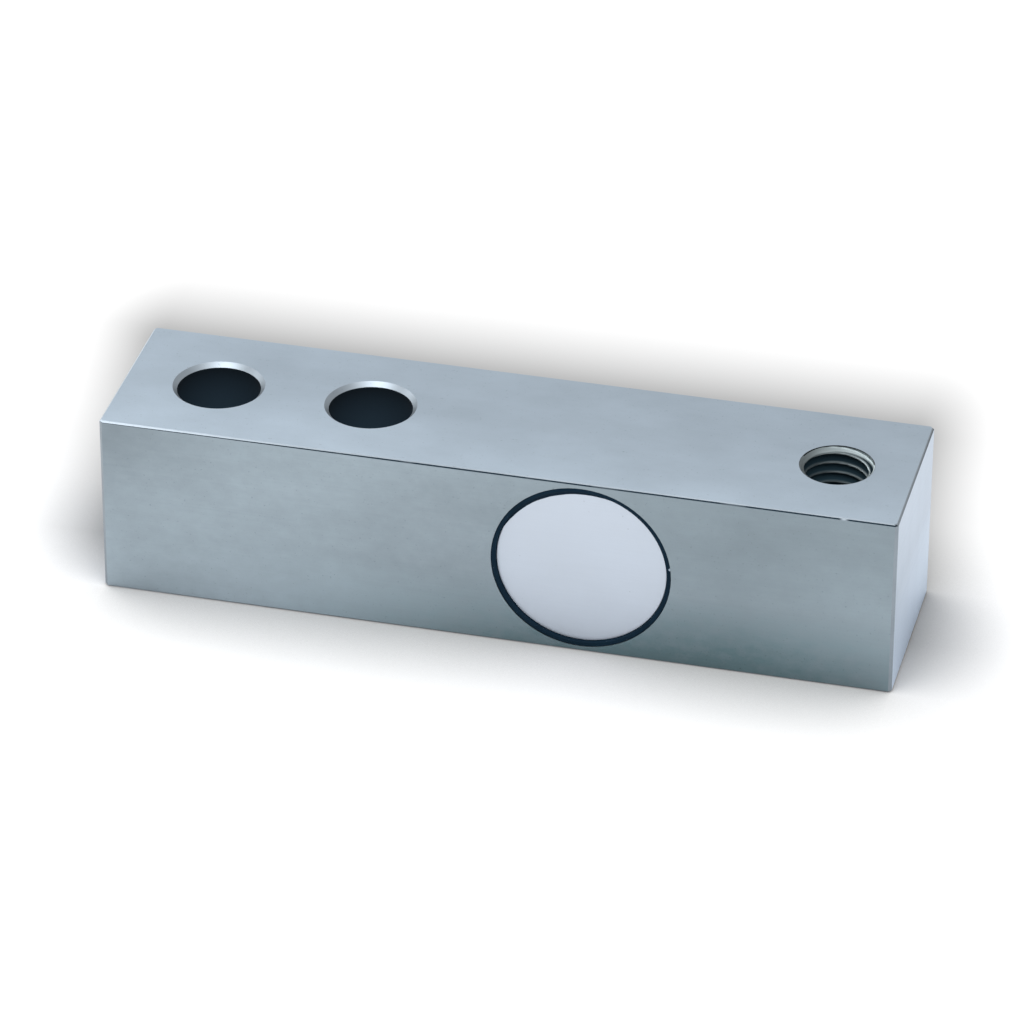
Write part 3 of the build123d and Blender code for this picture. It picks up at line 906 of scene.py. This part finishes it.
def soft_lamp(context, name, place, size, power):
    """A rectangular soft box that points at the bar."""
    light = bpy.data.lights.new(name, "AREA")
    light.shape = "RECTANGLE"
    light.size, light.size_y = size
    light.energy = power
    lamp = bpy.data.objects.new(name, light)
    lamp.location = place
    lamp.visible_camera = False
    lamp.rotation_euler = (Vector(LAMP_AIM) - Vector(place)).to_track_quat("-Z", "Y").to_euler()
    context.scene.collection.objects.link(lamp)


def room_light(context, settings):
    """A white room: the level of the light from all round, and plain white where it is seen."""
    world = bpy.data.worlds.new("white_room")
    world.use_nodes = True
    nodes, links = world.node_tree.nodes, world.node_tree.links
    back = nodes["Background"]
    level = nodes.new("ShaderNodeMapRange")
    links.new(seen_directly(nodes, links), level.inputs["Value"])
    level.inputs["To Min"].default_value = settings.sky_level
    level.inputs["To Max"].default_value = 1.0
    links.new(level.outputs[0], back.inputs["Strength"])
    back.inputs["Color"].default_value = (1.0, 1.0, 1.0, 1.0)
    context.scene.world = world


class LOADCELL_OT_stage(Operator):
    """Set the floor, the lamps, the white room and the camera"""

    bl_idname = "load_cell.stage"
    bl_label = "Stage"

    def execute(self, context):
        settings = context.scene.load_cell_stage
        half = settings.floor_size / 2
        mesh = bpy.data.meshes.new("floor")
        corners = [(-half, -half, 0), (half, -half, 0), (half, half, 0), (-half, half, 0)]
        mesh.from_pydata(corners, [], [(0, 1, 2, 3)])
        floor = bpy.data.objects.new("floor", mesh)
        floor.location.z = -FLOOR_GAP
        context.scene.collection.objects.link(floor)
        mesh.materials.append(paper_floor(settings).material)
        soft_lamp(context, "front_lamp", (0.6, -1.1, 1.25), (1.7, 0.9), settings.front_power)
        soft_lamp(context, "side_lamp", (-1.35, 0.65, 0.85), (1.6, 0.9), settings.side_power)
        soft_lamp(context, "top_lamp", (-0.25, -0.6, 1.1), (1.0, 0.7), settings.top_power)
        room_light(context, settings)
        camera = bpy.data.cameras.new("camera")
        camera.sensor_width = SENSOR_WIDTH
        camera.lens = settings.lens
        camera.clip_start = CLIP_START
        holder = bpy.data.objects.new("camera", camera)
        holder.location = settings.camera_place
        holder.rotation_euler = Euler(settings.camera_turn)
        context.scene.collection.objects.link(holder)
        context.scene.camera = holder
        context.scene.view_settings.view_transform = "Standard"
        return {"FINISHED"}


OPERATORS = (
    LOADCELL_OT_bar,
    LOADCELL_OT_thread,
    LOADCELL_OT_covers,
    LOADCELL_OT_gauges,
    LOADCELL_OT_board,
    LOADCELL_OT_gland,
    LOADCELL_OT_stage,
)


class LOADCELL_PT_panel(Panel):
    """Sizes, colours and steps of the load cell"""

    bl_label = "Load Cell"
    bl_idname = "LOADCELL_PT_panel"
    bl_space_type = "VIEW_3D"
    bl_region_type = "UI"
    bl_category = "Load Cell"

    def draw(self, context):
        for operator, (name, group) in zip(OPERATORS, SETTINGS.items()):
            box = self.layout.box()
            for field in group.__annotations__:
                box.prop(getattr(context.scene, name), field)
            box.operator(operator.bl_idname)


def register():
    for name, group in SETTINGS.items():
        bpy.utils.register_class(group)
        setattr(bpy.types.Scene, name, PointerProperty(type=group))
    for operator in OPERATORS:
        bpy.utils.register_class(operator)
    bpy.utils.register_class(LOADCELL_PT_panel)


def unregister():
    bpy.utils.unregister_class(LOADCELL_PT_panel)
    for operator in reversed(OPERATORS):
        bpy.utils.unregister_class(operator)
    for name, group in reversed(SETTINGS.items()):
        delattr(bpy.types.Scene, name)
        bpy.utils.unregister_class(group)


def main():
    register()
    bpy.ops.load_cell.bar()
    bpy.ops.load_cell.thread()
    bpy.ops.load_cell.covers()
    bpy.ops.load_cell.gauges()
    bpy.ops.load_cell.board()
    bpy.ops.load_cell.gland()
    bpy.ops.load_cell.stage()


if __name__ == "__main__":
    main()
